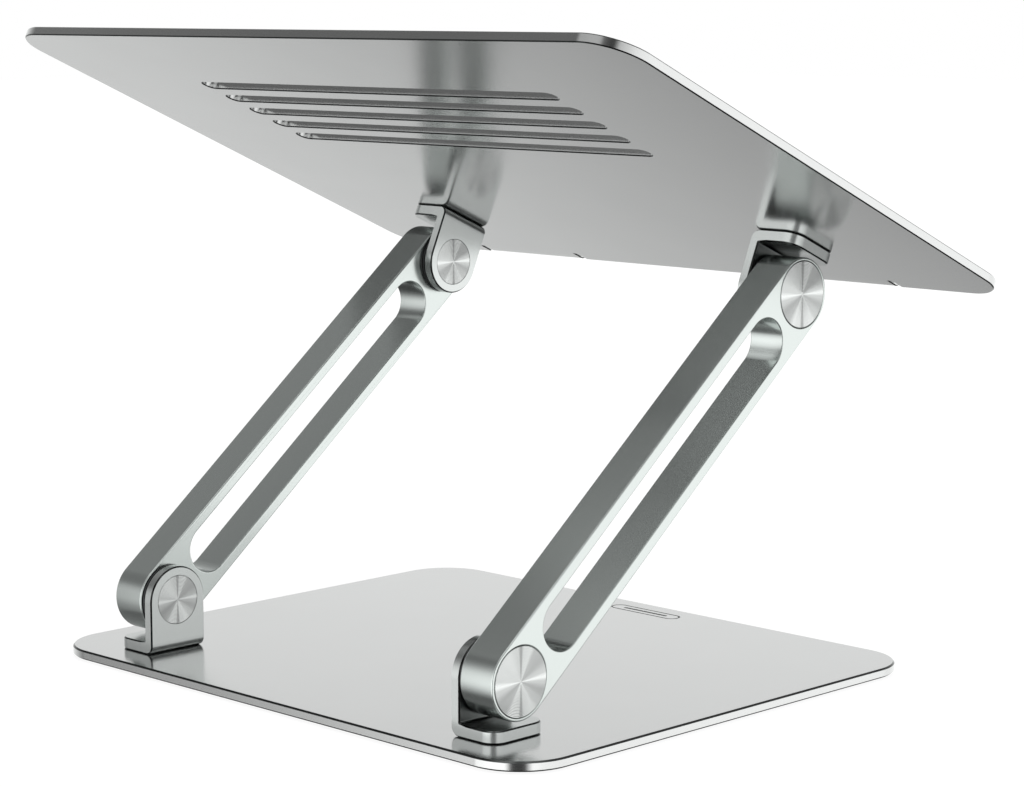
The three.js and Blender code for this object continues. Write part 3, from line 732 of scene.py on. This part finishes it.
def engrave_mark(base):
    """Cuts a plain bar-shaped outline with a dash in it, near the base's front edge."""
    length, width = MARK_SIZE
    low, high = BASE_THICKNESS - MARK_DEPTH, BASE_THICKNESS + OVERCUT
    end = (length - width) / 2
    groove = round_bar(-end, end, width / 2, low, high, SMALL_STEPS)
    inside = width / 2 - MARK_LINE
    combine(groove, round_bar(-end, end, inside, low - OVERCUT, high + OVERCUT, SMALL_STEPS))
    dash = MARK_DASH / 2
    combine(groove, round_bar(-dash, dash, MARK_LINE, low, high, SMALL_STEPS // 2), "UNION")
    combine(base, put(groove, Matrix.Translation((0, base_depth / 2 - MARK_FROM_FRONT, 0))))
    # The groove's floor takes the plate's second slot, the same near-black colour as the chamfers
    for face in base.data.polygons:
        if faces_up(face) and face.center.z < BASE_THICKNESS - MARK_DEPTH / 2:
            face.material_index = 1


def make_base():
    base = rounded_plate(base_width, base_depth, BASE_CORNER, 0, BASE_THICKNESS)
    soften_rims(base, BASE_RIM, 1)
    for _, x, y in base_pad_places:
        pocket = pad_bar(BASE_PAD, -OVERCUT, PAD_POCKET, PAD_GAP)
        combine(base, put(pocket, Matrix.Translation((x, y, 0)) @ QUARTER_TURN))
    for _, sign in SIDES:
        for _, y in SCREW_PLACES:
            combine(base, screw_cutter(sign * screw_x, lower_pivot_y + y, BASE_THICKNESS))
    soften_rims(base, POCKET_RIM, 1, 60)
    engrave_mark(base)
    finish_piece(base, "base_sheet", "base", "base_plate", plate_metal, base_frame)


def make_base_pads():
    for place, x, y in base_pad_places:
        pad = make_pad(BASE_PAD, PAD_PROUD + PAD_POCKET - PAD_SEAT)
        finish_piece(pad, f"base_foot_{place}", "base", f"base_pad_{place}", grey_silicone,
                     base_frame @ Matrix.Translation((x, y, -PAD_PROUD)) @ QUARTER_TURN)


# ---- Tray ---------------------------------------------------------------------------------------------

tray_bottom = PIVOT_HEIGHT
tray_top = tray_bottom + TRAY_THICKNESS
tray_middle_y = TRAY_FRONT - TRAY_DEPTH / 2
hook_outside = TRAY_FRONT + HOOK_PROUD
hook_top = tray_top + HOOK_HEIGHT


def tray_pad_middle(sign):
    """The middle of the strip on one side, in the tray's own plane."""
    return (sign * (TRAY_WIDTH / 2 - TRAY_PAD_FROM_SIDE - TRAY_PAD[1] / 2),
            TRAY_FRONT - TRAY_DEPTH + TRAY_PAD_FROM_REAR + TRAY_PAD[0] / 2)


def make_hook():
    """A strip of the tray bent up at its front edge: a block extruded up, with its bend rounded."""
    root = TRAY_FRONT - HOOK_RELIEF_DEPTH - HOOK_OVERLAP
    half = HOOK_WIDTH / 2
    hook = block((-half, root, tray_bottom), (half, hook_outside, tray_top))
    select_in_edit(hook, "FACE", faces_up)
    bpy.ops.mesh.bisect(plane_co=(0, hook_outside - TRAY_THICKNESS, 0), plane_no=(0, 1, 0))
    leave_edit()
    select_in_edit(hook, "FACE", lambda f: faces_up(f)
                   and f.calc_center_median().y > hook_outside - TRAY_THICKNESS)
    bpy.ops.mesh.extrude_region_move(TRANSFORM_OT_translate={"value": (0, 0, HOOK_HEIGHT)})
    leave_edit()
    bevel_edges(hook, lambda e: runs_along(e, 0) and middle_of(e).y > hook_outside - NEAR
                and middle_of(e).z < tray_bottom + NEAR, HOOK_BEND + TRAY_THICKNESS - 10 * SLIVER, 12)
    bevel_edges(hook, lambda e: runs_along(e, 0) and abs(middle_of(e).z - tray_top) < NEAR
                and abs(middle_of(e).y - hook_outside + TRAY_THICKNESS) < NEAR, HOOK_BEND, 8)
    bevel_edges(hook, lambda e: runs_along(e, 1) and middle_of(e).z > hook_top - NEAR, HOOK_CORNER, 12)
    soften_rims(hook, TRAY_RIM, 1)
    return hook


def make_tray():
    tray = rounded_plate(TRAY_WIDTH, TRAY_DEPTH, TRAY_CORNER, tray_bottom, tray_top)
    put(tray, Matrix.Translation((0, tray_middle_y, 0)))
    end = (VENT_LENGTH - VENT_WIDTH) / 2
    for i in range(VENT_COUNT):
        vent = round_bar(-end, end, VENT_WIDTH / 2, tray_bottom - OVERCUT, tray_top + OVERCUT, SMALL_STEPS)
        combine(tray, put(vent, Matrix.Translation((0, TRAY_FRONT - LAST_VENT + i * VENT_PITCH, 0))))
    half = HOOK_WIDTH / 2 + HOOK_RELIEF
    for _, sign in SIDES:
        middle = sign * HOOK_MIDDLE
        combine(tray, block((middle - half, TRAY_FRONT - HOOK_RELIEF_DEPTH, tray_bottom - OVERCUT),
                            (middle + half, TRAY_FRONT + OVERCUT, tray_top + OVERCUT)))
    soften_rims(tray, TRAY_RIM, 1)
    for _, sign in SIDES:
        combine(tray, put(make_hook(), Matrix.Translation((sign * HOOK_MIDDLE, 0, 0))), "UNION")
        pocket = pad_bar(TRAY_PAD, tray_top - PAD_POCKET, tray_top + OVERCUT, PAD_GAP)
        combine(tray, put(pocket, Matrix.Translation((*tray_pad_middle(sign), 0)) @ QUARTER_TURN))
        for _, y in SCREW_PLACES:
            hole = put(screw_cutter(sign * screw_x, 0, TRAY_THICKNESS), Matrix.Rotation(math.pi, 4, "X"))
            combine(tray, put(hole, Matrix.Translation((0, y, tray_top))))
    finish_piece(tray, "tray_sheet", "tray", "tray_plate", plate_metal, tray_frame)


def make_tray_pads():
    for side, sign in SIDES:
        strip = make_pad(TRAY_PAD, PAD_PROUD + PAD_POCKET - PAD_SEAT)
        underside = tray_top - PAD_POCKET + PAD_SEAT
        place = Matrix.Translation((*tray_pad_middle(sign), underside)) @ QUARTER_TURN
        finish_piece(strip, f"tray_strip_{side}", "tray", f"tray_pad_{side}", grey_silicone,
                     tray_frame @ place)
        hook_pad = make_pad(HOOK_PAD, HOOK_PAD_THICKNESS)
        back = Vector((sign * HOOK_MIDDLE, hook_outside - TRAY_THICKNESS - PAD_SEAT,
                       hook_top - HOOK_PAD[1] / 2 - HOOK_PAD_FROM_TOP))
        place = Matrix.Translation(back) @ Matrix.Rotation(math.pi / 2, 4, "X")
        finish_piece(hook_pad, f"hook_strip_{side}", "tray", f"hook_pad_{side}", grey_silicone,
                     tray_frame @ place)


# ---- Brackets -----------------------------------------------------------------------------------------


def paint_shade_on_bracket(bracket):
    """Gives the ear's face that turns towards the arm, and the fillet under it, a darker colour in the third slot:
    painted shade for the shade under the arm's knuckle.
    """
    give_slots(bracket, 3)
    for face in bracket.data.polygons:
        towards_arm = face.normal.x > 0.3 and abs(face.normal.y) < 0.3
        if towards_arm and face.center.x < EAR_OUTSIDE + EAR_FILLET:
            face.material_index = 2


def make_bracket():
    """The right-hand lower bracket in its hinge's frame: a foot, extruded up into an ear, then rounded."""
    half = BRACKET_WIDTH / 2
    bottom = -PIVOT_HEIGHT + FOOT_SEAT
    top = -PIVOT_HEIGHT + FOOT_RISE + BRACKET_THICKNESS
    bracket = block((EAR_INSIDE, -half, bottom), (ARM_OUTSIDE, half, top))
    select_in_edit(bracket, "FACE", faces_up)
    bpy.ops.mesh.bisect(plane_co=(EAR_OUTSIDE, 0, 0), plane_no=(1, 0, 0))
    leave_edit()
    select_in_edit(bracket, "FACE", lambda f: faces_up(f) and f.calc_center_median().x < EAR_OUTSIDE)
    bpy.ops.mesh.extrude_region_move(TRANSFORM_OT_translate={"value": (0, 0, half - top)})
    leave_edit()
    bevel_edges(bracket, lambda e: runs_along(e, 1) and middle_of(e).x < EAR_INSIDE + NEAR
                and middle_of(e).z < bottom + NEAR, BEND_RADIUS, 10)
    bevel_edges(bracket, lambda e: runs_along(e, 1) and abs(middle_of(e).x - EAR_OUTSIDE) < NEAR
                and abs(middle_of(e).z - top) < NEAR, EAR_FILLET, 6)
    bevel_edges(bracket, lambda e: runs_along(e, 2) and middle_of(e).x > ARM_OUTSIDE - NEAR,
                FOOT_CORNER, 12)
    bevel_edges(bracket, lambda e: runs_along(e, 0) and middle_of(e).z > half - NEAR, half - SLIVER, 40)
    select_in_edit(bracket, "VERT", lambda v: v.co.z > half - NEAR)
    bpy.ops.mesh.remove_doubles(threshold=10 * SLIVER)
    leave_edit()
    soften_rims(bracket, BRACKET_RIM, 1)
    paint_shade_on_bracket(bracket)
    pocket_floor = EAR_INSIDE + INNER_POCKET_DEPTH
    combine(bracket, disc(INNER_CAP_RADIUS + CAP_GAP, EAR_INSIDE - OVERCUT, pocket_floor))
    combine(bracket, disc(BRACKET_BORE_RADIUS, EAR_INSIDE, EAR_OUTSIDE + OVERCUT, SMALL_STEPS))
    return bracket


# ---- Hinge hardware -----------------------------------------------------------------------------------


def make_cap(radius, thickness):
    """A cap around X with its face at x = 0, turned in fine rings: repeated insets, up and down."""
    cap = disc(radius, -thickness, 0)
    bevel_edges(cap, lambda e: middle_of(e).x > -NEAR, CAP_RIM, 3)
    select_in_edit(cap, "FACE", lambda f: f.normal.x > 0.99)
    rings = int((radius - CAP_RIM - TURNED_MIDDLE) / TURNED_PITCH)
    for i in range(rings):
        depth = TURNED_DEPTH if i % 2 else -TURNED_DEPTH
        bpy.ops.mesh.inset(thickness=TURNED_PITCH, depth=depth)
    leave_edit()
    return cap


def make_friction_washer():
    """The plastic washer between a bracket's ear and an arm."""
    gap = FRICTION_WASHER_GAP
    washer = disc(FRICTION_WASHER_RADIUS, EAR_OUTSIDE + gap, ARM_INSIDE - gap)
    combine(washer, disc(SHAFT_RADIUS + gap, EAR_OUTSIDE, ARM_INSIDE, SMALL_STEPS))
    return washer


def make_screw():
    """A countersunk screw around Z, its head's face at z = sink, with a hexagonal socket."""
    screw = flat_disc(SCREW_HEAD_RADIUS, SCREW_SINK, SCREW_LENGTH, SMALL_STEPS)
    cone = SCREW_HEAD_RADIUS - SCREW_RADIUS
    select_in_edit(screw, "FACE", lambda f: f.normal.z < -0.9)
    bpy.ops.mesh.inset(thickness=SCREW_EDGE[0], depth=SCREW_EDGE[1])
    leave_edit()
    select_in_edit(screw, "FACE", lambda f: abs(f.normal.z) < 0.1)
    bpy.ops.mesh.bisect(plane_co=(0, 0, SCREW_SINK + cone), plane_no=(0, 0, 1))
    leave_edit()
    select_in_edit(screw, "VERT", lambda v: v.co.z > SCREW_SINK + cone / 2)
    shrink = SCREW_RADIUS / SCREW_HEAD_RADIUS
    bpy.ops.transform.resize(value=(shrink, shrink, 1), center_override=(0, 0, 0))
    leave_edit()
    socket_radius = SCREW_SOCKET_WIDTH / math.sqrt(3)
    combine(screw, flat_disc(socket_radius, -OVERCUT, SCREW_SINK + SCREW_SOCKET_DEPTH, 6))
    return screw


def make_hinges():
    """All that goes with the brackets, at the lower hinges on the base and the upper ones on the tray."""
    bracket = make_bracket()
    cap = make_cap(INNER_CAP_RADIUS, INNER_CAP_THICKNESS)
    put(cap, Matrix.Translation((EAR_INSIDE, 0, 0)) @ Matrix.Rotation(math.pi, 4, "Z"))
    washer = make_friction_washer()
    kinds = ((bracket, "bracket", "bent_bracket", bracket_metal),
             (cap, "inner_cap", "turned_inner_cap", cap_metal),
             (washer, "friction_washer", "friction_disc", washer_plastic))
    screw = make_screw()
    levels = (("lower", "base", lower_frame, BASE_THICKNESS),
              ("upper", "tray", upper_frame, TRAY_THICKNESS))
    for level, body, place, plate_thickness in levels:
        for side, sign in SIDES:
            for model, node, name, material in kinds:
                twin = copy_of(model) if sign > 0 else mirrored(model)
                smooth = CAP_SMOOTH if model == cap else EDGE_SMOOTH
                finish_piece(twin, f"{level}_{name}_{side}", body, f"{level}_{node}_{side}", material,
                             place, smooth)
                if model == cap:
                    stamp_face_map(twin, INNER_CAP_RADIUS)
            for end, y in SCREW_PLACES:
                seat = Matrix.Translation((sign * screw_x, y, -PIVOT_HEIGHT - plate_thickness))
                finish_piece(copy_of(screw), f"{level}_socket_screw_{end}_{side}", body,
                             f"{level}_screw_{end}_{side}", plated_steel, place @ seat)
    for model in (bracket, cap, washer, screw):
        bpy.data.objects.remove(model, do_unlink=True)


# ---- Arms ---------------------------------------------------------------------------------------------

# Takes a bar that lies along X and stands along Z to one that lies along Y and stands along X
BAR_TO_ARM = Matrix(((0, 0, 1, 0), (1, 0, 0, 0), (0, 1, 0, 0), (0, 0, 0, 1)))


def make_arm():
    """The right arm in its lower hinge's frame, lying along +Y."""
    arm = put(round_bar(0, arm_length, ARM_RADIUS, ARM_INSIDE, ARM_OUTSIDE, ARM_STEPS), BAR_TO_ARM)
    end = SLOT_FROM_PIVOT + SLOT_RADIUS
    slot = round_bar(end, arm_length - end, SLOT_RADIUS, ARM_INSIDE - OVERCUT, ARM_OUTSIDE + OVERCUT)
    combine(arm, put(slot, BAR_TO_ARM))
    for y in (0, arm_length):
        cap_floor = ARM_OUTSIDE - OUTER_CAP_THICKNESS - CAP_SEAT
        seat = disc(OUTER_CAP_RADIUS + CAP_GAP, cap_floor, ARM_OUTSIDE + OVERCUT)
        pocket = disc(NUT_POCKET_RADIUS, ARM_INSIDE + NUT_POCKET_FLOOR, ARM_OUTSIDE, POCKET_STEPS)
        bore = disc(ARM_BORE_RADIUS, ARM_INSIDE - OVERCUT, ARM_OUTSIDE, SMALL_STEPS)
        for cutter in (seat, pocket, bore):
            combine(arm, put(cutter, Matrix.Translation((0, y, 0))))
    soften_rims(arm, ARM_RIM)
    return arm


def make_arms():
    arm = make_arm()
    cap = put(make_cap(OUTER_CAP_RADIUS, OUTER_CAP_THICKNESS), Matrix.Translation((ARM_OUTSIDE, 0, 0)))
    for side, sign in SIDES:
        body = f"arm_{side}"
        twin = copy_of(arm) if sign > 0 else mirrored(arm)
        finish_piece(twin, f"slotted_arm_{side}", body, f"arm_{side}", arm_metal, arm_frame)
        for level, place in (("lower", arm_frame), ("upper", arm_top_frame)):
            twin = copy_of(cap) if sign > 0 else mirrored(cap)
            finish_piece(twin, f"{level}_turned_outer_cap_{side}", body, f"{level}_outer_cap_{side}",
                         cap_metal, place, CAP_SMOOTH)
            stamp_face_map(twin, OUTER_CAP_RADIUS)
    bpy.data.objects.remove(arm, do_unlink=True)
    bpy.data.objects.remove(cap, do_unlink=True)


def dress_hidden_hardware():
    """The shafts, washers and nuts keep their solids and take a finish."""
    finishes = {"shaft": plated_steel, "pressure_washer": plated_steel, "spring_washer": spring_steel,
                "nut": plated_steel}
    for level in ("lower", "upper"):
        for side, _ in SIDES:
            for kind, material in finishes.items():
                node = frame["nodes"][f"{level}_{kind}_{side}"]
                node.data.materials.clear()
                node.data.materials.append(material)


make_base()
make_base_pads()
make_tray()
make_tray_pads()
make_hinges()
make_arms()
dress_hidden_hardware()
